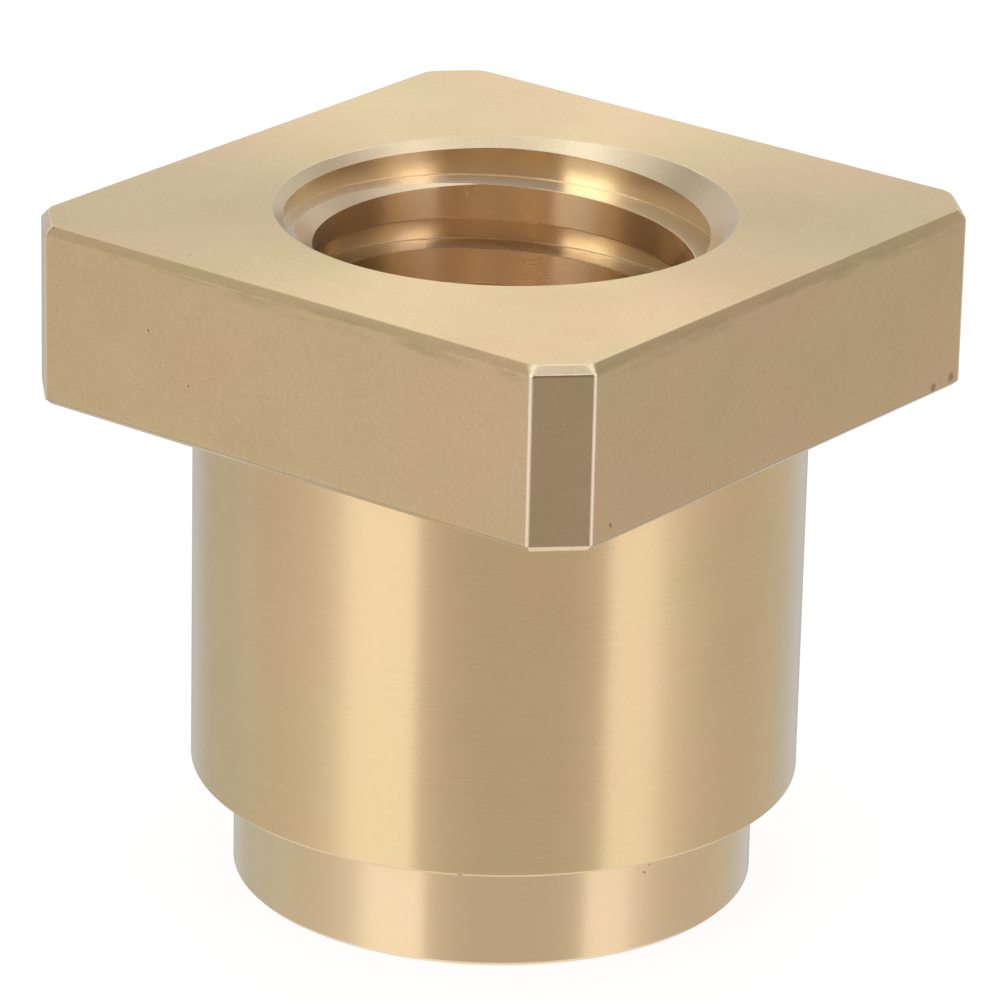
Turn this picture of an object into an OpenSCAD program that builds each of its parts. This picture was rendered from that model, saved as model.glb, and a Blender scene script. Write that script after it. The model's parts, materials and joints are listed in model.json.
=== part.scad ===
// Flanged lead screw nut, turned and milled from one piece of brass.
// It stands on the small end of its spigot, with the square head on top.
// The axis of the thread is Z, and the origin is at the middle of the foot face.
// A screw goes through it from end to end, in a square thread of coarse pitch.

/* [Square head] */
// Width of the head across two opposite flat sides
head_w = 80; // [76:0.5:120]
// Thickness of the head, from its underside to its top face
head_t = 21.5; // [8:0.5:40]
// Length that the upright corner flat takes off each side of the head
corner_cut = 5; // [1:0.5:8]
// Bevel around the top face, measured inwards
top_bevel_w = 0.75; // [0.2:0.05:2]
// Bevel around the top face, measured downwards
top_bevel_h = 1.05; // [0.2:0.05:3]
// Bevel around the underside, the same inwards and upwards
under_bevel = 0.65; // [0.2:0.05:2]
// Width of the narrow flat filed on each upright edge of the head
edge_flat_w = 0.35; // [0.1:0.05:1]

/* [Barrel] */
// Diameter of the barrel, which seats in the nut housing
barrel_d = 71.5; // [66:0.1:75]
// Length of the barrel below the head
barrel_l = 46.5; // [10:0.5:120]
// Bevel on the lower edge of the barrel
barrel_bevel = 0.3; // [0.1:0.05:2]
// Radius left by the turning tool in the corner under the head
shoulder_r = 0.6; // [0.2:0.1:2]

/* [Spigot] */
// Diameter of the spigot at the foot
spigot_d = 61.3; // [58:0.1:65]
// Length of the spigot below the barrel
spigot_l = 13.5; // [4:0.5:40]
// Bevel on the lower edge of the spigot
spigot_bevel = 0.45; // [0.1:0.05:1.5]

/* [Thread] */
// Advance of the screw for one full turn
thread_pitch = 8; // [6:0.5:10]
// Diameter across the crests, which is the clear hole through the nut
crest_d = 44.3; // [38:0.1:46]
// Diameter at the bottom of the groove
root_d = 51.1; // [48:0.1:54]
// Width of the groove along the axis
groove_w = 3.6; // [2:0.1:5]
// How far the top countersink's rim stands outside the bottom of the groove
top_rim_w = 1.15; // [0.2:0.05:3]
// How far the foot countersink's rim stands outside the bottom of the groove
foot_rim_w = 0.65; // [0.2:0.05:1.5]
// Direction in which the groove's lower flank runs out through the top face
groove_exit = -22.5; // [-180:2.5:180]
// Straight steps that one turn of the groove is cut in
groove_steps = 40; // [24:4:72]

/* [Hidden] */

brass = [0.80, 0.66, 0.45];
$fn = 96;

overall_l = head_t + barrel_l + spigot_l;
head_base_z = spigot_l + barrel_l;
crest_r = crest_d / 2;
root_r = root_d / 2;

// Countersinks at 45 degrees, from the rim down to the crests
top_sink = root_r + top_rim_w - crest_r;
foot_sink = root_r + foot_rim_w - crest_r;

// A corner flat faces halfway between two sides, and a filed edge faces halfway
// between a side and a corner flat
corner_turn = 45;
edge_turn = corner_turn / 2;
across_corners = (2 * head_w - 2 * corner_cut) / sqrt(2);
across_edges = head_w * cos(edge_turn) + (head_w - 2 * corner_cut) * sin(edge_turn)
    - edge_flat_w * tan(edge_turn);

// How far a cutter passes beyond the metal
past = 1;
// A slab is longer than anything that it is trimmed against
slab_l = 2 * head_w;

// Points on a quarter circle, for the inside corner that a turning tool leaves
function cove(r, centre, steps = 6) =
    [for (i = [0:steps]) centre + r * [-cos(90 * i / steps), sin(90 * i / steps)]];

// A slab with bevelled long edges, seen from its end: one pair of sides of the head
module bevelled_slab(across) {
    half = across / 2;
    rotate([90, 0, 0])
        linear_extrude(height = slab_l, center = true)
            polygon([
                [-half + under_bevel, 0],
                [half - under_bevel, 0],
                [half, under_bevel],
                [half, head_t - top_bevel_h],
                [half - top_bevel_w, head_t],
                [-half + top_bevel_w, head_t],
                [-half, head_t - top_bevel_h],
                [-half, under_bevel],
            ]);
}

// A slab with square long edges, for the file's flats
module plain_slab(across) {
    translate([-across / 2, -slab_l / 2, 0])
        cube([across, slab_l, head_t]);
}

// What a shape facing one direction shares with its copy a quarter turn on
module crossed(direction) {
    intersection() {
        rotate(direction) children();
        rotate(direction + 90) children();
    }
}

// The head is what all the slabs share
module square_head() {
    intersection() {
        crossed(0) bevelled_slab(head_w);
        crossed(corner_turn) bevelled_slab(across_corners);
        crossed(edge_turn) plain_slab(across_edges);
        crossed(-edge_turn) plain_slab(across_edges);
    }
}

// Barrel and spigot as one turned outline, running up into the head
module turned_body() {
    barrel_r = barrel_d / 2;
    spigot_r = spigot_d / 2;
    shoulder = [barrel_r + shoulder_r, head_base_z - shoulder_r];
    rotate_extrude()
        polygon(concat(
            [
                [0, 0],
                [spigot_r - spigot_bevel, 0],
                [spigot_r, spigot_bevel],
                [spigot_r, spigot_l],
                [barrel_r - barrel_bevel, spigot_l],
                [barrel_r, spigot_l + barrel_bevel],
            ],
            cove(shoulder_r, shoulder),
            [
                [barrel_r + shoulder_r, head_base_z + past],
                [0, head_base_z + past],
            ]
        ));
}

// Clear hole across the crests, opened by a countersink at each end
module bore_cutter() {
    translate([0, 0, -past])
        cylinder(r = crest_r, h = overall_l + 2 * past);
    translate([0, 0, -past])
        cylinder(r1 = crest_r + foot_sink + past, r2 = crest_r, h = foot_sink + past);
    translate([0, 0, overall_l - top_sink])
        cylinder(r1 = crest_r, r2 = crest_r + top_sink + past, h = top_sink + past);
}

// Corners of the groove's square section: distance from the axis, and height
groove_section = [
    [crest_r - past, 0],
    [root_r, 0],
    [root_r, groove_w],
    [crest_r - past, groove_w],
];

// The groove is that section carried along a right-hand helix past both ends
module groove_cutter() {
    corners = len(groove_section);
    turns = ceil((overall_l + 2 * groove_w) / thread_pitch) + 1;
    last = turns * groove_steps;
    points = [
        for (step = [0:last])
            for (corner = groove_section)
                let (angle = 360 * step / groove_steps)
                    [
                        corner[0] * cos(angle),
                        corner[0] * sin(angle),
                        corner[1] + thread_pitch * angle / 360,
                    ]
    ];
    sides = [
        for (step = [0:last - 1])
            for (c = [0:corners - 1])
                let (
                    near = step * corners,
                    next = (c + 1) % corners
                )
                    each [
                        [near + c, near + next, near + corners + next],
                        [near + c, near + corners + next, near + corners + c],
                    ]
    ];
    near_end = [[0, 2, 1], [0, 3, 2]];
    far = last * corners;
    far_end = [[far, far + 1, far + 2], [far, far + 2, far + 3]];
    rotate(groove_exit)
        translate([0, 0, overall_l - turns * thread_pitch])
            polyhedron(points = points, faces = concat(near_end, sides, far_end));
}

module lead_screw_nut() {
    color(brass)
        difference() {
            union() {
                translate([0, 0, head_base_z])
                    square_head();
                turned_body();
            }
            bore_cutter();
            groove_cutter();
        }
}

lead_screw_nut();
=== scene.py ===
# %% [markdown]
# # A lead screw nut in brass
# The nut is one piece of brass: a square head, a turned barrel, a shorter spigot and a square thread
# cut through the middle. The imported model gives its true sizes. This lesson builds a finer skin for
# it as one closed surface, gives every machined face its own finish, and sets it on a pale floor
# under soft light. Lengths are in metres, the axis of the thread is Z, and the foot stands on Z = 0.

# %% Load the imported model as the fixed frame
import json
import math

import bmesh
import bpy
import numpy as np
from mathutils import Matrix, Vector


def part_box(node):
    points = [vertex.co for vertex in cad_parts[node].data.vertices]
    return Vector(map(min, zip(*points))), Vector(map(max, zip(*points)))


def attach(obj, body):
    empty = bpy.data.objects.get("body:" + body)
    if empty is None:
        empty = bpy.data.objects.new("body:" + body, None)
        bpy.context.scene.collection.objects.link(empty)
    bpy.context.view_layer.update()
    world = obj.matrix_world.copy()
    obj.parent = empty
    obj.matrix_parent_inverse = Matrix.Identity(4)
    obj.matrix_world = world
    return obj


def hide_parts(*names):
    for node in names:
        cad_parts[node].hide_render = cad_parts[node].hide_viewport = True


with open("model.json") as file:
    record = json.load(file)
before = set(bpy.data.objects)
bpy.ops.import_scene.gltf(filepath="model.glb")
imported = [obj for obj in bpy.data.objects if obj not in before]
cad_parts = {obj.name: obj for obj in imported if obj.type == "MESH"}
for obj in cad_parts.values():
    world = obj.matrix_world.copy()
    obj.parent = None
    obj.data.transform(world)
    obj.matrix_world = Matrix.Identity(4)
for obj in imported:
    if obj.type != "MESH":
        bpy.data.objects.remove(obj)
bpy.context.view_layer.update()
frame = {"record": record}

NUT = "lead_screw_nut"
MM = 0.001

# %% [markdown]
# ## Sizes
# The record of the part lists the places where other parts meet the nut: the thread, the barrel, the
# spigot and the flat seats. Reading the sizes from there keeps the skin tied to the solid. The rest
# are the small bevels and edge breaks and the shape of the groove, written here as numbers.

# %% Read the main sizes from the record
mounts = {mount["name"]: mount for mount in frame["record"]["mounts"]}
_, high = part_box(NUT)
top_z = high.z
half_width = high.x
head_base_z = mounts["head_seat"]["pos_m"][2]
crest_r = mounts["screw_thread"]["dims"]["r_mm"] * MM
barrel_r = mounts["barrel"]["dims"]["r_mm"] * MM
spigot_r = mounts["spigot"]["dims"]["r_mm"] * MM
print("head half width, barrel and spigot radius:", half_width, barrel_r, spigot_r)

# %% Sizes of the head's corners and bevels, and of the turned steps
corner_cut = 5 * MM
top_bevel_in, top_bevel_down = 0.75 * MM, 1.05 * MM
under_bevel = 0.65 * MM
edge_flat_w = 0.29 * MM
edge_break = 0.12 * MM
shoulder_r = 0.6 * MM
barrel_bevel = 0.3 * MM
spigot_bevel = 0.45 * MM
spigot_top_z = 13.5 * MM

# %% Sizes of the thread and its countersinks
thread_pitch = 8 * MM
groove_width = 3.6 * MM
root_r = 25.55 * MM
top_rim_r = root_r + 1.15 * MM
foot_rim_r = root_r + 0.65 * MM
groove_exit = math.radians(-22.5)
print("depth of the groove in mm:", round((root_r - crest_r) / MM, 2))

# %% [markdown]
# ## The outline of the head
# Seen from above, the head is a square with its corners cut off at 45 degrees, so it has eight
# straight sides and eight upright edges. A file has taken the sharpness off each edge and left a
# narrow flat. At the top face the same corners are rubbed round. One row of points round this outline
# can be moved in or out by any amount. Every row keeps the same number of points, and so does every
# circle of the turned parts, so the square head flows into the round barrel with no gap.

# %% The eight sides, and how finely each stretch of the outline is cut up
head_sides = 8
side_number = np.arange(head_sides + 1)
side_angle = np.radians(-180 + 45 * side_number)
corner_flat_distance = (2 * half_width - corner_cut) / math.sqrt(2)
side_distance = np.where(side_number % 2 == 0, half_width, corner_flat_distance)
sides = list(zip(side_angle, side_distance))
long_steps, short_steps, edge_points = 66, 5, 6
long_spread, short_spread = math.radians(41), math.radians(4)
print("corner flats stand from the axis, in mm:", round(corner_flat_distance / MM, 2))

# %% How an upright edge is filed, and how far it is rubbed round at the top
filed_lead_in = 0.09 * MM
filed_break_share = 0.22
filed_first_share = 0.25
rub_length = 1.1 * MM


def side_meeting(inset, a, b):
    """Where two straight sides meet. A side is the angle of its normal and its distance from the axis,
    and the point lies at that distance less the inset along both normals."""
    normals = np.array([[math.cos(a[0]), math.sin(a[0])], [math.cos(b[0]), math.sin(b[0])]])
    return np.linalg.solve(normals, [a[1] - inset, b[1] - inset])


def upright_edge(inset, rubbed, before, after):
    """Six points where two sides meet. A filed edge is a narrow flat with a small break at each end. A
    rubbed edge is a quadratic Bezier pulled towards the meeting point. Rubbed, from 0 to 1, blends the
    two."""
    meeting = side_meeting(inset, before, after)
    along = np.array([[-math.sin(side[0]), math.cos(side[0])] for side in (before, after)])
    leg = edge_flat_w / 2 / math.cos(math.radians(22.5))
    ends = np.array([meeting - leg * along[0], meeting + leg * along[1]])
    across = (ends[1] - ends[0]) * filed_break_share
    filed = np.array([
        ends[0] - filed_lead_in * along[0], ends[0] + filed_first_share * across, ends[0] + across,
        ends[1] - across, ends[1] - filed_first_share * across, ends[1] + filed_lead_in * along[1],
    ])
    t = np.linspace(0, 1, edge_points)[:, None]
    start, end = meeting - rub_length * along[0], meeting + rub_length * along[1]
    curve = (1 - t) ** 2 * start + 2 * t * (1 - t) * meeting + t**2 * end
    return (1 - rubbed) * filed + rubbed * curve


print("two sides meet at, in mm:", (side_meeting(0, sides[0], sides[1]) / MM).round(2))

# %% The whole outline
def head_outline(inset, rubbed=0.0):
    """Points round the head, moved inwards by inset: each upright edge, then the side that runs
    straight from it to the next. Along a side, the points stand at the tangents of equal steps of
    angle, which brings them to nearly equal angles about the axis."""
    edges = [upright_edge(inset, rubbed, a, b) for a, b in zip(sides[:-1], sides[1:])]
    points = []
    for n, edge in enumerate(edges):
        start, end = edge[-1], edges[(n + 1) % head_sides][0]
        steps, spread = (long_steps, long_spread) if n % 2 else (short_steps, short_spread)
        share = np.tan(np.linspace(-1, 1, steps + 1) * spread)
        share = ((share - share[0]) / (share[-1] - share[0]))[1:-1, None]
        points += [edge, start + share * (end - start)]
    return np.concatenate(points)


rim = head_outline(0)
theta = np.unwrap(np.arctan2(rim[:, 1], rim[:, 0]))
columns = len(theta)
print("columns round the nut:", columns)

# %% Marks for the columns on the upright edges and on the corner flats
def marked(on_edge, on_corner_flat):
    """One mark for each column: the first value on the upright edges, the second on the corner flats,
    and none on the long sides between them."""
    marks = []
    for n in range(head_sides):
        side = [False] * long_steps if n % 2 else [on_corner_flat] * short_steps
        marks += [on_edge] * (edge_points - 1) + side
    return np.array(marks)


in_edge = marked(True, False)
in_corner_flat = marked(False, True)
in_edge_middle = in_edge & ~np.roll(in_edge, 3) & ~np.roll(in_edge, -3)
by_corner_flat = np.any([np.roll(in_corner_flat, n) for n in range(-2, 3)], axis=0)
print("columns on edges and on corner flats:", in_edge.sum(), in_corner_flat.sum())


def circle(radius):
    """Points on a circle in the same directions as the outline's: radius times cosine and sine."""
    return radius * np.stack([np.cos(theta), np.sin(theta)], 1)

# %% [markdown]
# ## Soft corners on a profile
# No machined corner is perfectly sharp. Even a crisp one has a break about a tenth of a millimetre
# wide, and it is that break which catches the light as a thin bright line. A Bevel modifier could
# cut it, but it needs clean edges to work on. Rounding the profile before it is carried round the nut
# costs nothing and keeps the rows tidy.

# %% A profile with rounded corners
longest_share = 0.4


def softened(corners, radii, finishes, edge_finishes, steps=3):
    """The profile with each inner corner swapped for a curve: a quadratic Bezier that leaves the line a
    radius before the corner, is pulled towards it, and joins the next line a radius after it. Returns
    the points, and the finish of each stretch between them."""
    corners = np.asarray(corners, float)
    corner = corners[1:-1]
    radii = np.broadcast_to(np.asarray(radii, float), len(corner))[:, None]
    back, on = corners[:-2] - corner, corners[2:] - corner
    back_length = np.linalg.norm(back, axis=1, keepdims=True)
    on_length = np.linalg.norm(on, axis=1, keepdims=True)
    start = corner + back / back_length * np.minimum(radii, longest_share * back_length)
    end = corner + on / on_length * np.minimum(radii, longest_share * on_length)
    t = np.linspace(0, 1, steps + 1)[:, None, None]
    curve = (1 - t) ** 2 * start + 2 * t * (1 - t) * corner + t**2 * end
    points = np.concatenate([corners[:1], curve.transpose(1, 0, 2).reshape(-1, 2), corners[-1:]])
    names = [finishes[0]]
    for edge_name, name in zip(edge_finishes, finishes[1:]):
        names += [edge_name] * steps + [name]
    return points, names

# %% [markdown]
# ## The outside
# The outside is a stack of closed rows, from the rim of the top countersink, out over the top face,
# down the sides of the head, in under it, and down the barrel and the spigot to the rim at the foot.
# Rows on the head come from the outline, moved in by a bevel's width. Rows elsewhere are circles.

# %% Rows of the head
flat_margin = 1.3 * MM
bevel_foot_round = 0.24 * MM


def stacked(rows, heights):
    """Rows of points in the plane, each lifted to its own height."""
    rows = np.asarray(rows)
    z = np.broadcast_to(np.asarray(heights)[:, None, None], rows.shape[:2] + (1,))
    return np.concatenate([rows, z], 2)


def head_rows():
    """The head's profile as (inset, height), softened, with the outline drawn at each inset. The
    bevel's lower edge is rounded more, as a file leaves it."""
    profile, names = softened(
        [
            (flat_margin, top_z), (top_bevel_in, top_z), (0, top_z - top_bevel_down),
            (0, head_base_z + under_bevel), (under_bevel, head_base_z), (flat_margin, head_base_z),
        ],
        [edge_break, bevel_foot_round, edge_break, edge_break],
        ["faced_top", "edge_bevel", "milled_side", "under_bevel", "turned_barrel"],
        ["edge_bevel", "bevel_foot", "under_bevel", "under_bevel"],
    )
    rubbed = np.clip((profile[:, 1] - top_z + top_bevel_down) / top_bevel_down, 0, 1)
    rows = [head_outline(inset, amount) for inset, amount in zip(profile[:, 0], rubbed)]
    return stacked(rows, profile[:, 1]), names


head, head_names = head_rows()
print("rows on the head:", len(head))

# %% Rows of the barrel and the spigot, and the whole outside
seat_margin = 1.2 * MM
below_shoulder = 0.4 * MM
rim_lip = 0.1 * MM


def shoulder_curve(steps=6):
    """The quarter circle a turning tool leaves in the corner under the head, from the underside down to
    the barrel."""
    turn = np.linspace(0, math.pi / 2, steps + 1)
    radius = barrel_r + shoulder_r * (1 - np.sin(turn))
    height = head_base_z - shoulder_r * (1 - np.cos(turn))
    return np.stack([radius, height], 1)


def turned_rows():
    """The barrel and spigot as (radius, height), softened below the shoulder, with a circle at each."""
    barrel, spigot = "turned_barrel", "turned_spigot"
    below, names = softened(
        [
            (barrel_r, head_base_z - shoulder_r - below_shoulder), (barrel_r, spigot_top_z + barrel_bevel),
            (barrel_r - barrel_bevel, spigot_top_z), (spigot_r, spigot_top_z), (spigot_r, spigot_bevel),
            (spigot_r - spigot_bevel, 0), (foot_rim_r + rim_lip, 0),
        ],
        edge_break,
        [barrel, barrel, barrel, spigot, spigot, spigot],
        [barrel, barrel, spigot, spigot, spigot],
    )
    profile = np.concatenate([[(barrel_r + seat_margin, head_base_z)], shoulder_curve(), below])
    names = [barrel] * (len(profile) - len(below)) + names
    return stacked([circle(radius) for radius in profile[:, 0]], profile[:, 1]), names


turned, turned_names = turned_rows()
top_lip = stacked([circle(top_rim_r + rim_lip)], [top_z])
outside = np.concatenate([top_lip, head, turned])
outside_names = ["faced_top"] + head_names + ["turned_barrel"] + turned_names + ["countersink"]
print("rows on the turned parts and on the whole outside:", len(turned), len(outside))

# %% [markdown]
# ## The thread
# A square thread is a groove of square section that climbs 8 mm for every turn. Screw modifiers can
# sweep such a section, but the countersinks at both ends cut across it, and that cut is what the eye
# meets first. Here the wall of the bore is worked out as a height field: the section gives a radius
# for every height, the rows climb with the angle, and where a countersink is wider than the thread
# it wins. Each stretch of the section gets one spare row, which slides to the exact place where the
# countersink crosses it, so the edges there stay crisp.

# %% The section of one turn
end_lip = 0.07 * MM
groove_draft = 0.03 * MM
thread_break = 0.14 * MM
turn_start = -2.2 * MM
turns = 12


def one_turn():
    """The section of one turn as (radius, height above the groove's lower flank), and the finish of
    each stretch: up the crest, out along the lower flank, up the bottom of the groove, and back in. The
    flanks lean by a hair, so the height always grows."""
    corners = [
        (crest_r, turn_start), (crest_r, 0), (root_r, groove_draft), (root_r, groove_width - groove_draft),
        (crest_r, groove_width), (crest_r, turn_start + thread_pitch),
    ]
    stretches = ["thread_crest", "thread_flank", "thread_root", "thread_root", "thread_crest"]
    points, names = softened(corners, thread_break, stretches, ["thread_edge"] * 4, 2)
    return points[:-1], names


def countersink_radius(z):
    """Radius of whichever countersink is wider at this height: each grows by as much as the height
    changes, towards its own end."""
    return np.maximum(top_rim_r - (top_z - z), foot_rim_r - z)


print("points in one turn's section:", len(one_turn()[0]))

# %% Rows of the bore
def bore_rows():
    """Rows of the bore from foot to top. Height is the section's height plus the pitch times the angle
    in turns. Radius is the larger of the thread's and the countersink's. Between two rows, a spare row
    stands at the share of the way where the two are equal."""
    section, names = one_turn()
    lift = thread_pitch * np.arange(-turns + 1, 1)[:, None]
    radius = np.append(np.tile(section[:, 0], turns), section[0, 0])
    height = np.append((section[:, 1] + lift).ravel(), section[0, 1] + thread_pitch)
    z = top_z + height[:, None] + thread_pitch * (theta - groove_exit) / (2 * math.pi)
    r = np.broadcast_to(radius[:, None], z.shape)
    gap = r - countersink_radius(z)
    crossing = gap[:-1] * gap[1:] < 0
    share = np.where(crossing, gap[:-1] / np.where(crossing, gap[:-1] - gap[1:], 1), 0)
    rows = np.empty((2 * len(r) - 1, columns, 2))
    rows[::2] = np.stack([r, z], 2)
    rows[1::2, :, 0] = r[:-1] + share * (r[1:] - r[:-1])
    rows[1::2, :, 1] = z[:-1] + share * (z[1:] - z[:-1])
    rows[..., 0] = np.maximum(rows[..., 0], countersink_radius(rows[..., 1]))
    z = np.clip(rows[..., 1], end_lip, top_z - end_lip)
    r = np.where(z == rows[..., 1], rows[..., 0], countersink_radius(z))
    points = np.stack([r * np.cos(theta), r * np.sin(theta), z], 2)
    return points, np.repeat(names * turns, 2), 2 * len(section)


bore, bore_names, rows_per_turn = bore_rows()
print("rows in the bore:", len(bore), "of which one turn takes", rows_per_turn)

# %% [markdown]
# ## One closed skin
# The bore's rows run up to the top rim and the outside's rows run back down to the foot, so together
# they close on themselves like a tyre. Round the nut the last column joins the first. In the bore it
# joins it one turn further up, which is all that makes a helix.

# %% Join the rows into faces
def joined(points, bore_count, shift):
    """Four-cornered faces between each row and the next and each column and the next, as point numbers.
    In the last column, a row of the bore meets the row one turn above it."""
    count = len(points)
    row = np.arange(count)
    above = (row + 1) % count
    turn_above = np.where(row < bore_count, np.minimum(row + shift, bore_count - 1), row)
    number = row[:, None] * columns + np.arange(columns)
    right = np.roll(number, -1, 1)
    right[:, -1] = turn_above * columns
    return np.stack([number, right, right[above], number[above]], 2)


points = np.concatenate([bore, outside])
faces = joined(points, len(bore), rows_per_turn)
print("rows and columns of faces:", faces.shape[:2])

# %% [markdown]
# ## Which cut made each face
# Every face gets a finish, named after the cut or the wear that left it. On the pale bevels and pale edges,
# the colour also carries a painted highlight. A row brings its own finish with it. The columns change it on
# the filed edges and the corner flats, and the countersinks take over where they have cut the thread away.

# %% The names of the finishes
MILLED = [
    "milled_side", "corner_flat", "edge_bevel", "bevel_foot", "pale_bevel", "under_bevel",
    "worn_edge", "burnished_edge",
]
FINISHES = [
    "faced_top", *MILLED, "turned_barrel", "turned_spigot", "countersink",
    "thread_root", "thread_flank", "thread_crest", "thread_edge",
]
NUMBER = {name: n for n, name in enumerate(FINISHES)}
MILLED_NUMBERS = [NUMBER[name] for name in MILLED]
print("finishes:", len(FINISHES), "of which milled or filed:", len(MILLED))

# %% The finish of each face
touching = 1e-6 * MM


def finish_of_faces(points, bore_count):
    """The finish of each face, as a number into FINISHES: its row's own, except where a countersink has
    pressed the bore, where a filed edge runs down the side, and on the corner flats."""
    names = np.concatenate([bore_names, ["countersink"], outside_names])
    finish = np.array([NUMBER[name] for name in names])[:, None].repeat(columns, 1)
    radius, z = np.linalg.norm(points[..., :2], axis=2), points[..., 2]
    on_cone = np.abs(radius - countersink_radius(z)) < touching
    pressed = on_cone & np.roll(on_cone, -1, 0)
    pressed[bore_count:] = False
    finish[pressed] = NUMBER["countersink"]
    cuts = "milled_side", "edge_bevel", "bevel_foot", "under_bevel"
    side, bevel, foot, under = (finish == NUMBER[name] for name in cuts)
    upper_step = foot & ~np.roll(foot, 1, 0)
    # The pale bevels and the pale edges below carry a painted highlight, and the corner flats painted
    # shade.
    for where, name in (
        (side & in_corner_flat, "corner_flat"),
        (side & in_edge, "burnished_edge"),
        (bevel & by_corner_flat, "pale_bevel"),
        (bevel & in_edge_middle, "worn_edge"),
        (foot & in_corner_flat, "corner_flat"),
        (upper_step & in_corner_flat, "worn_edge"),
        (foot & in_edge, "pale_bevel"),
        (under & by_corner_flat, "pale_bevel"),
    ):
        finish[where] = NUMBER[name]
    return finish


finish = finish_of_faces(points, len(bore))
print("faces cut by the countersinks:", (finish == NUMBER["countersink"]).sum())

# %% [markdown]
# ## A map along the tool marks
# Fine parallel scratches stretch a reflection across themselves. To know which way they run, the
# metal reads a map laid over the faces. Its first direction goes round the nut, as a turning tool
# does, and its second across the marks. Each face has its own four corners in it, so no seam shows.

# %% The map
def tool_path(points, faces, finish):
    """A map for each face's four corners. The first direction is the angle about the axis, as a length
    on the barrel. The second is the height on milled faces, and elsewhere the radius plus or minus the
    height, whichever changes more over the face, so that lines of equal second value run round the
    axis."""
    angle = np.append(theta, theta[0] + 2 * math.pi) * barrel_r
    radius, z = np.linalg.norm(points[..., :2], axis=2), points[..., 2]
    rising, falling = (radius + z).ravel()[faces], (radius - z).ravel()[faces]
    steeper = np.ptp(rising, axis=2) > np.ptp(falling, axis=2)
    across = np.where(steeper[..., None], rising, falling)
    across = np.where(np.isin(finish, MILLED_NUMBERS)[..., None], -z.ravel()[faces], across)
    along = np.stack([angle[:-1], angle[1:], angle[1:], angle[:-1]], 1)
    return np.stack([np.broadcast_to(along, across.shape), across], 3).astype(np.float32)

# %% [markdown]
# ## Normals that know the lathe
# A round barrel is built of flat strips, and narrow strips beside wide ones show as lines in a
# reflection. On a turned face the true normal is known: it is the strip's own normal, carried round
# the axis to its corner. The sum over the neighbours then only smooths the soft corners, where a large
# face counts for far more than a narrow one. A Weighted Normal modifier does nearly this, but it does
# not know the axis and leans towards the wider strip.

# %% A normal for every corner of every face
sharp_angle = math.radians(24)
area_power = 3


def read(items, key, width=1, kind=np.float64):
    """One value for each item of a mesh, as an array."""
    values = np.empty(len(items) * width, kind)
    items.foreach_get(key, values)
    return values.reshape(-1, width) if width > 1 else values


def carried_normals(mesh, point, face):
    """Each face's own normal at each of its corners. Unless the face is milled, it is turned about the
    axis by the angle from halfway between the face's corners to this one."""
    first = read(mesh.polygons, "loop_start", kind=np.int32)
    at_corner = np.arctan2(*read(mesh.vertices, "co", 3)[point, 1::-1].T)
    at_middle = np.arctan2(*read(mesh.polygons, "center", 3)[:, 1::-1].T)
    from_middle = (at_corner - at_middle[face] + math.pi) % (2 * math.pi) - math.pi
    halfway = (np.minimum.reduceat(from_middle, first) + np.maximum.reduceat(from_middle, first)) / 2
    milled = np.isin(read(mesh.polygons, "material_index", kind=np.int32), MILLED_NUMBERS)
    turn = np.where(milled[face], 0, from_middle - halfway[face])
    x, y, z = read(mesh.polygons, "normal", 3)[face].T
    return np.stack([x * np.cos(turn) - y * np.sin(turn), x * np.sin(turn) + y * np.cos(turn), z], 1)


def corner_normals(mesh):
    """A normal for each corner of each face, of length one: the sum of the carried normals of the faces
    that meet there and differ by less than the sharp angle, each times its area to a power. Corners
    sorted by point lie side by side, and each round adds those one place further apart."""
    point = read(mesh.loops, "vertex_index", kind=np.int32)
    corner_counts = read(mesh.polygons, "loop_total", kind=np.int32)
    face = np.repeat(np.arange(len(corner_counts)), corner_counts)
    normal = carried_normals(mesh, point, face)
    order = np.argsort(point, kind="stable")
    point, normal = point[order], normal[order]
    counted = normal * (read(mesh.polygons, "area")[face][order] ** area_power)[:, None]
    total = counted.copy()
    apart = 1
    while (same := point[apart:] == point[:-apart]).any():
        smooth = same & ((normal[apart:] * normal[:-apart]).sum(1) > math.cos(sharp_angle))
        total[apart:][smooth] += counted[:-apart][smooth]
        total[:-apart][smooth] += counted[apart:][smooth]
        apart += 1
    result = np.empty_like(total)
    result[order] = total / np.linalg.norm(total, axis=1, keepdims=True)
    return result

# %% [markdown]
# ## Make the mesh
# Rows that a countersink has pressed flat lie on top of each other, and merging by distance removes
# them. The mesh then reports its volume and its open edges. None should be open.

# %% The skin of the nut
merge_distance = 0.0005 * MM


def skin(name):
    """The mesh of the nut: points, faces, finishes, the map along the tool marks, and the normals."""
    mesh = bpy.data.meshes.new(name)
    mesh.from_pydata(points.reshape(-1, 3), [], faces.reshape(-1, 4).tolist())
    mesh.polygons.foreach_set("material_index", finish.ravel().astype(np.int32))
    marks_map = mesh.uv_layers.new(name="tool_path")
    marks_map.uv.foreach_set("vector", tool_path(points, faces, finish).ravel())
    work = bmesh.new()
    work.from_mesh(mesh)
    bmesh.ops.remove_doubles(work, verts=work.verts, dist=merge_distance)
    bmesh.ops.recalc_face_normals(work, faces=work.faces)
    work.to_mesh(mesh)
    volume = work.calc_volume(signed=True)
    open_edges = sum(not edge.is_manifold for edge in work.edges)
    work.free()
    mesh.shade_smooth()
    mesh.normals_split_custom_set(corner_normals(mesh).tolist())
    print("faces:", len(mesh.polygons), "volume in cm3:", round(volume * 1e6, 3), "open edges:", open_edges)
    return mesh


nut = bpy.data.objects.new("brass_nut", skin("brass_nut"))
bpy.context.scene.collection.objects.link(nut)

# %% [markdown]
# ## Helpers for materials
# A material is a small graph. A few short helpers keep each cell readable. One adds a node and fills
# its sockets, from a value or from another node's output. One starts a reusable group of nodes with
# named inputs and outputs, of which the position is one that all groups share. The others add the
# nodes that come up again and again.

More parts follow.
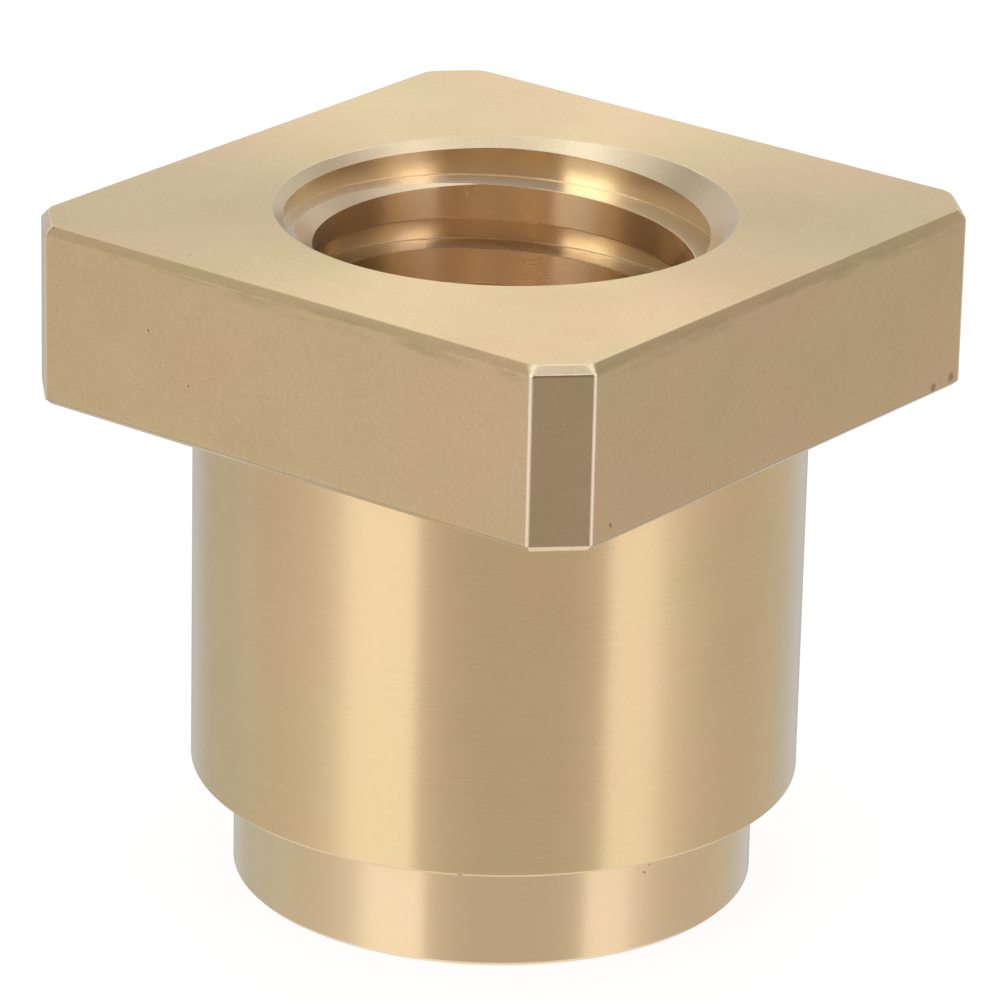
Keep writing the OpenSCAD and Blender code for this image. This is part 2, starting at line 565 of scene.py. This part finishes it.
# %% Add a node, start a group
def node(tree, kind, settings=None, **sockets):
    """A new shader node of a kind. Settings are its own properties. Each socket, by its name with _ for
    a space, or by i and its number, takes a value or a link."""
    made = tree.nodes.new("ShaderNode" + kind)
    for key, value in (settings or {}).items():
        setattr(made, key, value)
    for key, value in sockets.items():
        by_number = key[0] == "i" and key[1:].isdigit()
        socket = made.inputs[int(key[1:])] if by_number else made.inputs[key.replace("_", " ")]
        if isinstance(value, bpy.types.NodeSocket):
            tree.links.new(value, socket)
        else:
            socket.default_value = value
    return made


def group(name, inputs, outputs):
    """A node group with its sockets, each given as name: (kind, default). Returns the tree, what it is
    given, and its output node."""
    tree = bpy.data.node_groups.new(name, "ShaderNodeTree")
    for key, (kind, default) in inputs.items():
        socket = tree.interface.new_socket(key, in_out="INPUT", socket_type="NodeSocket" + kind)
        socket.default_value = default
    for key, kind in outputs.items():
        tree.interface.new_socket(key, in_out="OUTPUT", socket_type="NodeSocket" + kind)
    return tree, tree.nodes.new("NodeGroupInput").outputs, tree.nodes.new("NodeGroupOutput")

# %% Arithmetic, ranges, noise and mixed colours
POSITION = {"Position": ("Vector", (0, 0, 0))}


def maths(tree, operation, *values):
    """One step of arithmetic."""
    sockets = {f"i{n}": value for n, value in enumerate(values)}
    return node(tree, "Math", {"operation": operation}, **sockets).outputs[0]


def ranged(tree, value, low, high, at_low=0.0, at_high=1.0, soft=False):
    """A value carried from one range to another and held at its ends, evenly or as a soft step."""
    settings = {"interpolation_type": "SMOOTHSTEP"} if soft else {}
    ends = dict(i1=low, i2=high, i3=at_low, i4=at_high)
    return node(tree, "MapRange", settings, Value=value, **ends).outputs[0]


def noise(tree, place, scale, detail, roughness=0.5):
    """Soft noise about a half."""
    amounts = dict(Scale=scale, Detail=detail, Roughness=roughness)
    return node(tree, "TexNoise", Vector=place, **amounts).outputs["Fac"]


def mixed(tree, share, first, second, kind="MIX"):
    """Two colours mixed by a share, or with another kind added or multiplied."""
    settings = {"data_type": "RGBA", "blend_type": kind}
    return node(tree, "Mix", settings, i0=share, i6=first, i7=second).outputs[2]

# %% [markdown]
# ## Tool marks
# A lathe tool leaves fine rings, and a milling cutter or a belt leaves fine straight lines. Both are
# noise that changes slowly along the mark and quickly across it. On a turned face, the height and the
# distance from the axis are added, so the same rings run down the barrel, over a cone and across a
# flat face. On a milled side only the height counts.

# %% A group for tool marks
tool_marks, given, given_out = group(
    "tool_marks",
    {
        **POSITION,
        "Turned": ("Float", 1.0),
        "Length": ("Float", 8 * MM),
        "Pitch": ("Float", 0.12 * MM),
        "Contrast": ("Float", 1.0),
    },
    {"Marks": "Float"},
)
parts = node(tool_marks, "SeparateXYZ", Vector=given["Position"]).outputs
in_plane = node(tool_marks, "CombineXYZ", X=parts["X"], Y=parts["Y"]).outputs[0]
from_axis = node(tool_marks, "VectorMath", {"operation": "LENGTH"}, i0=in_plane)
lift = maths(tool_marks, "MULTIPLY_ADD", from_axis.outputs["Value"], given["Turned"], parts["Z"])
stretched = node(
    tool_marks, "CombineXYZ",
    X=maths(tool_marks, "DIVIDE", parts["X"], given["Length"]),
    Y=maths(tool_marks, "DIVIDE", parts["Y"], given["Length"]),
    Z=maths(tool_marks, "DIVIDE", lift, given["Pitch"]),
)
lines = noise(tool_marks, stretched.outputs[0], 1.0, 3.0, 0.6)
centred = maths(tool_marks, "SUBTRACT", lines, 0.5)
marks_out = maths(tool_marks, "MULTIPLY_ADD", centred, given["Contrast"], 0.5)
tool_marks.links.new(marks_out, given_out.inputs["Marks"])
print("tool marks:", len(tool_marks.nodes), "nodes")

# %% [markdown]
# ## Satin grain
# Under the marks, cut brass has a fine satin grain, where soft specks in the alloy tear out. It is the
# same in every direction and about a third of a millimetre across.

# %% A group for the grain
satin_grain, given, given_out = group(
    "satin_grain", {**POSITION, "Size": ("Float", 0.3 * MM)}, {"Grain": "Float"}
)
per_grain = maths(satin_grain, "DIVIDE", 1.0, given["Size"])
grain = noise(satin_grain, given["Position"], per_grain, 2.0, 0.7)
satin_grain.links.new(grain, given_out.inputs["Grain"])
print("satin grain:", len(satin_grain.nodes), "nodes")

# %% [markdown]
# ## Brass tone
# Cut brass is never one colour. Handling and air leave faint cloudy patches a centimetre across, some
# a little pinker and some a little greener, and the grain gives a finer mottle. The group starts from
# a base colour, ages it in clouds and along the tool marks, shifts the hue and adds the mottle.

# %% A group for the colour of the metal
PINKER, GREENER = (1.02, 0.985, 1.01, 1), (0.98, 1.015, 0.98, 1)
clouds_per_metre, hues_per_metre = 75.0, 45.0

brass_tone, given, given_out = group(
    "brass_tone",
    {
        "Base": ("Color", (0.8, 0.62, 0.36, 1)),
        "Aged": ("Color", (0.6, 0.45, 0.25, 1)),
        **POSITION,
        "Marks": ("Float", 0.5),
        "Grain": ("Float", 0.5),
        "Clouds": ("Float", 0.3),
        "Mottle": ("Float", 0.1),
        "Lines": ("Float", 0.1),
    },
    {"Color": "Color", "Cloud Mask": "Float"},
)
cloud = noise(brass_tone, given["Position"], clouds_per_metre, 3.0, 0.6)
cloud_mask = ranged(brass_tone, cloud, 0.38, 0.68)
hue_cloud = node(
    brass_tone, "TexNoise", {"noise_dimensions": "4D"},
    Vector=given["Position"], W=3.0, Scale=hues_per_metre, Detail=2.0,
).outputs["Fac"]
hue = mixed(brass_tone, ranged(brass_tone, hue_cloud, 0.35, 0.65), PINKER, GREENER)
aged = maths(brass_tone, "MULTIPLY", cloud_mask, given["Clouds"])
line = maths(brass_tone, "MULTIPLY", maths(brass_tone, "SUBTRACT", given["Marks"], 0.5), given["Lines"])
share = maths(brass_tone, "ADD", aged, line)
toned = mixed(brass_tone, share, given["Base"], given["Aged"])
tinted = mixed(brass_tone, 1.0, toned, hue, "MULTIPLY")
off_middle = maths(brass_tone, "SUBTRACT", given["Grain"], 0.5)
speck = maths(brass_tone, "MULTIPLY_ADD", off_middle, given["Mottle"], 1.0)
mottled = mixed(brass_tone, 1.0, tinted, speck, "MULTIPLY")
brass_tone.links.new(mottled, given_out.inputs["Color"])
brass_tone.links.new(cloud_mask, given_out.inputs["Cloud Mask"])
print("brass tone:", len(brass_tone.nodes), "nodes")

# %% [markdown]
# ## Edge wear and painted highlight
# Edges are handled, knocked and wiped more than flats, so they end up smoother. The paler colour near them
# is partly that wear and partly a painted highlight. Rounding the normal over a small radius and comparing
# it with the true one shows where an edge is near.

# %% A group for worn edges with a painted highlight
edge_gain = 6.0
edge_patches_per_metre = 600.0

edge_wear, given, given_out = group(
    "edge_wear",
    {**POSITION, "Radius": ("Float", 0.5 * MM), "Amount": ("Float", 1.0)},
    {"Wear": "Float"},
)
rounded = node(edge_wear, "Bevel", {"samples": 4}, Radius=given["Radius"]).outputs[0]
true_normal = node(edge_wear, "NewGeometry").outputs["Normal"]
agree = node(edge_wear, "VectorMath", {"operation": "DOT_PRODUCT"}, i0=rounded, i1=true_normal)
patchy = noise(edge_wear, given["Position"], edge_patches_per_metre, 2.0)
bent = maths(edge_wear, "SUBTRACT", 1.0, agree.outputs["Value"])
bent = maths(edge_wear, "MULTIPLY", bent, edge_gain)
broken = maths(edge_wear, "MULTIPLY", bent, maths(edge_wear, "ADD", patchy, 0.4))
limited = node(edge_wear, "Clamp", Value=maths(edge_wear, "MULTIPLY", broken, given["Amount"]))
edge_wear.links.new(limited.outputs[0], given_out.inputs["Wear"])
print("edge wear:", len(edge_wear.nodes), "nodes")

# %% [markdown]
# ## A darker band under the bevel
# The sides are darker in smears just under the filed bevel. The smears are noise drawn out along the side,
# kept to a band at one height.

# %% A group for the darker band under the bevel
smear_below_top = 1.35 * MM
smear_full, smear_gone = 0.1 * MM, 1.3 * MM
smears_per_metre = (120, 120, 700)

oil_stain, given, given_out = group(
    "oil_stain", {**POSITION, "Amount": ("Float", 0.5)}, {"Stain": "Float"}
)
smear_z = node(oil_stain, "SeparateXYZ", Vector=given["Position"]).outputs["Z"]
from_band = maths(oil_stain, "ABSOLUTE", maths(oil_stain, "SUBTRACT", smear_z, top_z - smear_below_top))
band = ranged(oil_stain, from_band, smear_full, smear_gone, 1.0, 0.0, soft=True)
drawn_out = node(
    oil_stain, "VectorMath", {"operation": "MULTIPLY"}, i0=given["Position"], i1=smears_per_metre
)
smear = ranged(oil_stain, noise(oil_stain, drawn_out.outputs[0], 1.0, 4.0, 0.65), 0.47, 0.68)
smear_out = maths(oil_stain, "MULTIPLY", maths(oil_stain, "MULTIPLY", band, smear), given["Amount"])
oil_stain.links.new(smear_out, given_out.inputs["Stain"])
print("oil stain:", len(oil_stain.nodes), "nodes")

# %% [markdown]
# ## Knocks
# The nut has been knocked in a few places: three dents near the lower edge of the side towards +X,
# two dots on the side towards -Y, a speck on the top face, a nick on the barrel's lower edge and a
# scratch on the spigot. Each is a small ragged ball or two, and darkens the surface inside it.

# %% A group for knocks
KNOCKS = [  # the middle and the radius of each ball, in millimetres
    ((40.0, 33.4, 61.5), 0.8), ((40.0, -31.6, 62.2), 0.45), ((40.0, 29.8, 61.15), 0.75),
    ((-19.5, -40.0, 72.7), 0.3), ((-13.5, -40.0, 67.5), 0.25), ((-16.4, -36.3, 81.5), 0.22),
    ((19.0, -30.2, 13.7), 0.4), ((29.3, -8.9, 9.8), 0.22), ((29.5, -8.3, 10.6), 0.15),
]
knock_core = 0.25
rags_per_metre = 2500.0

knocks, given, given_out = group("knocks", POSITION, {"Knock": "Float"})
ragged = maths(knocks, "MULTIPLY_ADD", noise(knocks, given["Position"], rags_per_metre, 2.0), 1.6, 0.2)
knocked = 0.0
for centre, radius in KNOCKS:
    away = node(
        knocks, "VectorMath", {"operation": "DISTANCE"},
        i0=given["Position"], i1=tuple(c * MM for c in centre),
    ).outputs["Value"]
    uneven = maths(knocks, "MULTIPLY", away, ragged)
    dent = ranged(knocks, uneven, knock_core * radius * MM, radius * MM, 1.0, 0.0, soft=True)
    knocked = maths(knocks, "MAXIMUM", dent, knocked)
knocks.links.new(knocked, given_out.inputs["Knock"])
print("knocks:", len(KNOCKS), "balls,", len(knocks.nodes), "nodes")

# %% [markdown]
# ## One recipe for every finish
# All the finishes are the same metal cut in different ways, so one function builds them from a few
# numbers. The tool marks spread a reflection across themselves and hardly along themselves. That is
# anisotropy: it turns the soft boxes into upright bands on the barrel. The map called tool_path runs
# along the marks, and a quarter turn of rotation points the spread across them. Seen at a glancing
# angle the metal loses its colour, so the base turns pale towards the outline.

# %% What all the finishes share
SMEAR_DARK = (0.42, 0.34, 0.18, 1)
KNOCK = (0.42, 0.3, 0.18, 1)
WORN_AND_HIGHLIGHT = (0.93, 0.8, 0.6, 1)
GLANCING = (0.86, 0.81, 0.74, 1)
glancing_from, glancing_share = 0.66, 0.8
clouds_roughen, wear_smooths = 0.02, -0.08
quarter_turn = 0.25
dent_strength, dent_depth = 0.6, 0.1 * MM

# %% The recipe for machined brass
def machined(
    name, base, aged, rough, anisotropy, turned=1.0, length=8.0, pitch=0.12, contrast=1.6, clouds=0.2,
    mottle=0.3, lines=0.3, rough_marks=0.05, bump=0.002, grain_bump=0.0003, wear_and_highlight=0.0, edge_reach=0.5,
    smear_amount=0.0,
):
    """A metal whose colour, roughness and height all follow its tool marks, its grain, its clouds, a darker
    smeared band, its knocks and its worn edges, whose paler colour is partly a painted highlight. Lengths
    are in millimetres."""
    material = bpy.data.materials.new(name)
    material.use_nodes = True
    tree = material.node_tree
    shader = tree.nodes["Principled BSDF"].inputs
    place = node(tree, "TexCoord").outputs["Object"]

    def placed(effect, **amounts):
        """What one of the groups gives at this place."""
        return node(tree, "Group", {"node_tree": effect}, Position=place, **amounts).outputs

    marks = placed(tool_marks, Turned=turned, Length=length * MM, Pitch=pitch * MM, Contrast=contrast)[0]
    specks = placed(satin_grain)[0]
    amounts = dict(Clouds=clouds, Mottle=mottle, Lines=lines)
    tone = placed(brass_tone, Base=(*base, 1), Aged=(*aged, 1), Marks=marks, Grain=specks, **amounts)
    colour = tone["Color"]
    roughness = maths(tree, "MULTIPLY_ADD", marks, rough_marks, rough - rough_marks / 2)
    roughness = maths(tree, "MULTIPLY_ADD", tone["Cloud Mask"], clouds_roughen, roughness)
    # A darker smeared band just under the bevel.
    if smear_amount:
        colour = mixed(tree, placed(oil_stain, Amount=smear_amount)[0], colour, SMEAR_DARK)
    if wear_and_highlight:
        worn_and_highlight = placed(edge_wear, Radius=edge_reach * MM, Amount=wear_and_highlight)[0]
        # Near the edges the colour turns paler: partly wear, partly a painted highlight.
        colour = mixed(tree, worn_and_highlight, colour, WORN_AND_HIGHLIGHT)
        roughness = maths(tree, "MULTIPLY_ADD", worn_and_highlight, wear_smooths, roughness)
    dent = placed(knocks)[0]
    colour = mixed(tree, dent, colour, KNOCK)
    facing = node(tree, "LayerWeight", Blend=0.5).outputs["Facing"]
    glancing = ranged(tree, facing, glancing_from, 1.0, 0.0, glancing_share)
    tree.links.new(mixed(tree, glancing, colour, GLANCING), shader["Base Color"])
    tree.links.new(roughness, shader["Roughness"])
    shader["Metallic"].default_value = 1.0
    shader["Anisotropic"].default_value = anisotropy
    shader["Anisotropic Rotation"].default_value = quarter_turn
    along = node(tree, "Tangent", {"direction_type": "UV_MAP", "uv_map": "tool_path"})
    tree.links.new(along.outputs[0], shader["Tangent"])
    grooves = node(tree, "Bump", Strength=1.0, Distance=bump * MM, Height=marks).outputs[0]
    grained = node(tree, "Bump", Strength=1.0, Distance=grain_bump * MM, Height=specks, Normal=grooves)
    dented = node(
        tree, "Bump", {"invert": True},
        Strength=dent_strength, Distance=dent_depth, Height=dent, Normal=grained.outputs[0],
    )
    tree.links.new(dented.outputs[0], shader["Normal"])
    return material

# %% [markdown]
# ## The milled and filed finishes
# The sides of the head were milled, so they are duller than the turned faces, with short straight
# lines. The corner flats get a darker base as painted shade. The bevels were filed. The upper bevels carry
# a darker smeared band, the bevel under the head gets a darker base as painted shade, and near the corner
# flats the bevels get a pale base as a painted highlight. The narrow edges are worn, and their pale bases
# are a painted highlight.

# %% Numbers for the milled faces and the filed edges
milled = dict(turned=0.0, length=2.5, pitch=0.25, bump=0.003)
filed = milled | dict(anisotropy=0.3)
bevel = filed | dict(base=(0.7, 0.54, 0.32), aged=(0.6, 0.46, 0.27), rough=0.36, clouds=0.4)
bright = dict(anisotropy=0.0, turned=0.0, length=1.0, pitch=0.6, bump=0.003)
finish_recipes = {
    "milled_side": milled | dict(
        base=(0.74, 0.57, 0.345), aged=(0.6, 0.46, 0.275), rough=0.34, anisotropy=0.5, pitch=0.2,
        clouds=0.25, wear_and_highlight=0.5, edge_reach=1.3, smear_amount=0.5,
    ),
    # The corner flats get a darker base as painted shade.
    "corner_flat": filed | dict(
        base=(0.59, 0.45, 0.275), aged=(0.5, 0.37, 0.22), rough=0.34, length=1.8, clouds=0.3, wear_and_highlight=0.3
    ),
    "edge_bevel": bevel | dict(smear_amount=0.5),
    "bevel_foot": bevel | dict(smear_amount=0.6),
    # Near the corner flats the bevels get a pale base as a painted highlight.
    "pale_bevel": filed | dict(base=(0.93, 0.79, 0.57), aged=(0.7, 0.54, 0.34), rough=0.42, clouds=0.3),
    # The bevel under the head gets a darker base as painted shade.
    "under_bevel": filed | dict(base=(0.55, 0.42, 0.25), aged=(0.5, 0.38, 0.22), rough=0.4, clouds=0.5),
    # The worn and burnished edges get pale bases as a painted highlight.
    "worn_edge": bright | dict(base=(0.97, 0.86, 0.69), aged=(0.88, 0.77, 0.6), rough=0.62, clouds=0.3),
    "burnished_edge": bright | dict(base=(1.0, 0.88, 0.68), aged=(0.9, 0.76, 0.54), rough=0.32, clouds=0.5),
}

# %% [markdown]
# ## The turned finishes
# The top was faced and the barrel and spigot were turned, so all three carry rings. The bore is
# redder, since light bounces from wall to wall in it and picks up the colour of the metal each time.
# The crests rub on the screw and are scratched in streaks.

# %% Numbers for the turned faces and the thread
gold, brown = (0.84, 0.645, 0.385), (0.7, 0.52, 0.3)
outer = dict(anisotropy=1.0, length=14, pitch=0.2, clouds=0.15, mottle=0.12, lines=0.35, wear_and_highlight=0.3)
inner = dict(anisotropy=1.0, length=6, clouds=0.3, mottle=0.1, lines=0.15, bump=0.001, grain_bump=0.0001)
finish_recipes |= {
    "faced_top": dict(
        base=(0.89, 0.7, 0.424), aged=brown, rough=0.4, anisotropy=0.8, length=14, clouds=0.2,
        lines=0.25, bump=0.003,
    ),
    "turned_barrel": outer | dict(base=gold, aged=brown, rough=0.2),
    # The spigot's base is paler than the barrel's as painted light, for the extra light the table throws on
    # it.
    "turned_spigot": outer | dict(base=(0.885, 0.7, 0.445), aged=gold, rough=0.19),
    "countersink": dict(
        base=(0.84, 0.7, 0.5), aged=gold, rough=0.32, anisotropy=0.7, clouds=0.3, lines=0.5, bump=0.004
    ),
    "thread_root": inner | dict(base=(0.88, 0.68, 0.41), aged=(0.74, 0.55, 0.32), rough=0.24),
    "thread_flank": inner | dict(base=(0.86, 0.775, 0.66), aged=gold, rough=0.25),
    "thread_crest": inner | dict(
        base=(0.93, 0.71, 0.45), aged=(0.8, 0.57, 0.32), rough=0.25, rough_marks=0.04, length=3.0,
        pitch=0.2, contrast=1.3, mottle=0.12, lines=0.25, bump=0.0002,
    ),
    # The rounded corners of the groove get a paler base, a painted highlight for their thin bright lines.
    "thread_edge": dict(
        base=(0.93, 0.76, 0.54), aged=(0.74, 0.53, 0.29), rough=0.34, anisotropy=0.0, length=2,
        pitch=0.6, clouds=0.5, bump=0.003,
    ),
}

# %% Make the finishes and put them on the nut
for name in FINISHES:
    nut.data.materials.append(machined(name, **finish_recipes[name]))
print("finishes:", [material.name for material in nut.data.materials])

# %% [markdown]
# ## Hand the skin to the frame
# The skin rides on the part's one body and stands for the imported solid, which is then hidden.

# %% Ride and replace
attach(nut, "root")
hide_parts(NUT)

# %% [markdown]
# ## The floor
# The nut stands on white paper, which glows a little, so that it stays white and keeps only a faint
# shadow at the foot. The metal does not mirror it, because the room has a table of its own. The paper
# lies a hair under the foot, since two faces at one height show as stripes.

# %% The paper
reach = 4.0
under_foot = -0.02 * MM
paper_grey, paper_glow = 0.16, 0.85

corners = [(x * reach, y * reach, under_foot) for x, y in ((-1, -1), (1, -1), (1, 1), (-1, 1))]
floor_mesh = bpy.data.meshes.new("paper_floor")
floor_mesh.from_pydata(corners, [], [(0, 1, 2, 3)])
floor = bpy.data.objects.new("paper_floor", floor_mesh)
bpy.context.scene.collection.objects.link(floor)
paper = bpy.data.materials.new("white_paper")
paper.use_nodes = True
paper_shader = paper.node_tree.nodes["Principled BSDF"].inputs
paper_shader["Base Color"].default_value = (paper_grey, paper_grey, paper_grey, 1)
paper_shader["Roughness"].default_value = 0.9
paper_shader["Emission Color"].default_value = (1, 1, 1, 1)
paper_shader["Emission Strength"].default_value = paper_glow
floor_mesh.materials.append(paper)
floor.visible_glossy = False

# %% [markdown]
# ## Where the camera stands
# The camera looks down at one corner of the head. The light is laid out round the camera, so its
# directions are worked out first: back towards it, and the right and the top of what it sees.

# %% The camera's directions
azimuth, elevation, roll = (math.radians(angle) for angle in (37.82, 21.229, 1.296))
towards_camera = np.array([math.sin(azimuth), -math.cos(azimuth), 0])
level_right = np.array([math.cos(azimuth), math.sin(azimuth), 0])
back = towards_camera * math.cos(elevation) + np.array([0, 0, math.sin(elevation)])
level_up = np.cross(level_right, -back)
right = math.cos(roll) * level_right + math.sin(roll) * level_up
up = -math.sin(roll) * level_right + math.cos(roll) * level_up
print("the camera lies towards:", back.round(3))

# %% [markdown]
# ## The room
# Metal shows little but what it mirrors, so its light is a whole room, painted on the sky. The light
# from a direction depends on its bearing, counted from the camera to the right, and on its height.
# Two helpers turn these into light: a ramp round the room, and a soft step up the wall.

# %% Read a direction as a bearing and a height
world = bpy.data.worlds.new("pale_room")
bpy.context.scene.world = world
world.use_nodes = True
sky = world.node_tree
direction = node(sky, "TexCoord").outputs["Generated"]


def part_along(way):
    """How much of the direction goes one way: the dot product of the two."""
    dot = node(sky, "VectorMath", {"operation": "DOT_PRODUCT"}, i0=direction, i1=tuple(way))
    return dot.outputs["Value"]


bearing = maths(sky, "ARCTAN2", part_along(level_right), part_along(towards_camera))
share_round = maths(sky, "MULTIPLY_ADD", bearing, 1 / (2 * math.pi), 0.5)
height = node(sky, "SeparateXYZ", Vector=direction).outputs["Z"]

# %% A ramp round the room and a step up the wall
def round_the_room(stops):
    """A colour ramp over the bearing, from pairs of (degrees to the right of the camera, colour)."""
    ramp = node(sky, "ValToRGB", Fac=share_round)
    elements = ramp.color_ramp.elements
    for n, (degrees, colour) in enumerate(stops):
        place = degrees / 360 + 0.5
        stop = elements[n] if n < 2 else elements.new(place)
        stop.position, stop.color = place, (*colour, 1)
    return ramp.outputs["Color"]


def step_up(low_z, high_z, low_value=0.0, high_value=1.0):
    """A soft change with the height of the direction, given as the sine of its elevation."""
    return ranged(sky, height, low_z, high_z, low_value, high_value, soft=True)


def white(*stops):
    """Stops of white light, from pairs of (degrees, level)."""
    return [(degrees, (level, level, level)) for degrees, level in stops]


def warm(*stops):
    """Stops of light a little warmer than white, as a wooden wall throws it back."""
    return [(degrees, (level, level * 0.93, level * 0.88)) for degrees, level in stops]

# %% [markdown]
# ## The walls
# The low part of the walls lights the sides of the head and the barrel. The high part is bright
# behind the nut, where the top face looks, and dim elsewhere. Behind the camera the wall is darkest,
# and this dark gap between the two soft boxes gives the barrel its darker middle.

# %% Paint the walls
DARK_WALL = (0.15, 0.08, 0.04, 1)

low_walls = round_the_room(
    white((-180, 0.42), (-168, 0.52), (-158, 0.64), (-150, 0.58), (-137, 0.54), (-128, 0.58))
    + white((-118, 0.57), (-105, 0.6))
    + warm((-95, 0.59), (-80, 0.57), (0, 0.53), (80, 0.56), (115, 0.6))
    + white((140, 0.6), (150, 0.61), (158, 0.65), (168, 0.5), (180, 0.42))
)
high_walls = round_the_room(
    white((-180, 1.3), (-160, 1.15), (-145, 0.7))
    + warm((-128, 0.3), (-116, 0.35), (-102, 0.5), (-85, 0.42), (-60, 0.36), (-25, 0.25), (35, 0.25))
    + warm((60, 0.36), (85, 0.38), (112, 0.37), (129, 0.47))
    + white((145, 0.6), (160, 1.15), (180, 1.3))
)
walls = mixed(sky, step_up(0.22, 0.65), low_walls, high_walls)
behind_camera = round_the_room(white((-62, 0), (-44, 1), (46, 1), (64, 0)))
darkened = maths(sky, "MULTIPLY", behind_camera, step_up(-0.08, 0.14))
dim_walls = mixed(sky, darkened, walls, DARK_WALL)

# %% [markdown]
# ## The two soft boxes
# A tall soft box stands on each side of the camera. Each is bright right up to its inner edge and
# fades away outwards, so the bands that they draw on the barrel do the same. Higher up the boxes are
# stronger and their edges sharper, for the bevels and the countersink, which tilt upwards.

# %% Hang the boxes
left_box = round_the_room(white(
    (-110, 0), (-100, 0.03), (-90, 0.09), (-82, 0.17), (-74, 0.26), (-68, 0.38), (-61.5, 0.55),
    (-59.4, 0.7), (-57.4, 0.8), (-53.5, 0.92), (-50, 0.95), (-41, 0.94), (-33, 0.95), (-30, 0.92),
    (-28.6, 0.45), (-26, 0.3), (-20, 0.15), (-14, 0.06), (-5, 0),
))
right_box = round_the_room(white(
    (22, 0), (28.7, 0.03), (33, 0.08), (37, 0.16), (39.5, 0.25), (41.5, 0.4), (43, 0.84), (46, 0.87),
    (58, 0.85), (61.5, 0.8), (64, 0.66), (65.5, 0.55), (69.6, 0.47), (73.7, 0.34), (77.8, 0.25),
    (82, 0.18), (88, 0.1), (96, 0.03), (104, 0),
))
both_boxes = mixed(sky, 1.0, left_box, right_box, "ADD")
sharper = maths(sky, "POWER", both_boxes, step_up(0.0, 0.35, 1.0, 4.0))
low_strength, high_strength = step_up(-0.12, 0.12, 0.45, 1.3), 4.0
strength = node(sky, "Mix", i0=step_up(0.08, 0.3), i2=low_strength, i3=high_strength)
box_light = maths(sky, "MULTIPLY", sharper, strength.outputs[0])
lit_walls = mixed(sky, 1.0, dim_walls, box_light, "ADD")

# %% [markdown]
# ## The ceiling, the table and the paper's own light
# A white ceiling and a white table close the room. The paper gets plain even light, so that the boxes
# leave no pattern on it, and the camera sees a plain white background.

# %% Close the room
WHITE = (1.0, 1.0, 1.0, 1)
PAPER_LIGHT = (1.06, 1.06, 1.06, 1)

with_ceiling = mixed(sky, step_up(0.6, 0.84), lit_walls, WHITE)
with_table = mixed(sky, step_up(-0.8, -0.55, 1.0, 0.0), with_ceiling, WHITE)
ray = node(sky, "LightPath").outputs
for_paper = mixed(sky, ray["Is Diffuse Ray"], with_table, PAPER_LIGHT)
shown = mixed(sky, ray["Is Camera Ray"], for_paper, WHITE)
sky.links.new(shown, sky.nodes["Background"].inputs["Color"])
print("nodes in the sky:", len(sky.nodes))

# %% [markdown]
# ## The camera
# A long lens from three quarters of a metre away keeps the upright edges nearly parallel. The camera
# is placed from the middle of the top face: back along its view, then a little to the side and down.

# %% Set up the camera
camera = bpy.data.objects.new("camera", bpy.data.cameras.new("camera"))
camera.data.lens, camera.data.sensor_width = 241.2, 36
camera.data.clip_start, camera.data.clip_end = 0.01, 20
stand_back, stand_right, stand_up = 768.82 * MM, -0.595 * MM, -33.505 * MM
place = np.array([0, 0, top_z]) + back * stand_back + right * stand_right + up * stand_up
axes = np.eye(4)
axes[:3] = np.stack([right, up, back, place], 1)
camera.matrix_world = Matrix(axes.tolist())
bpy.context.scene.collection.objects.link(camera)
bpy.context.scene.camera = camera
bpy.context.scene.view_settings.view_transform = "Standard"
print("the camera stands at, in mm:", (place / MM).round(1))
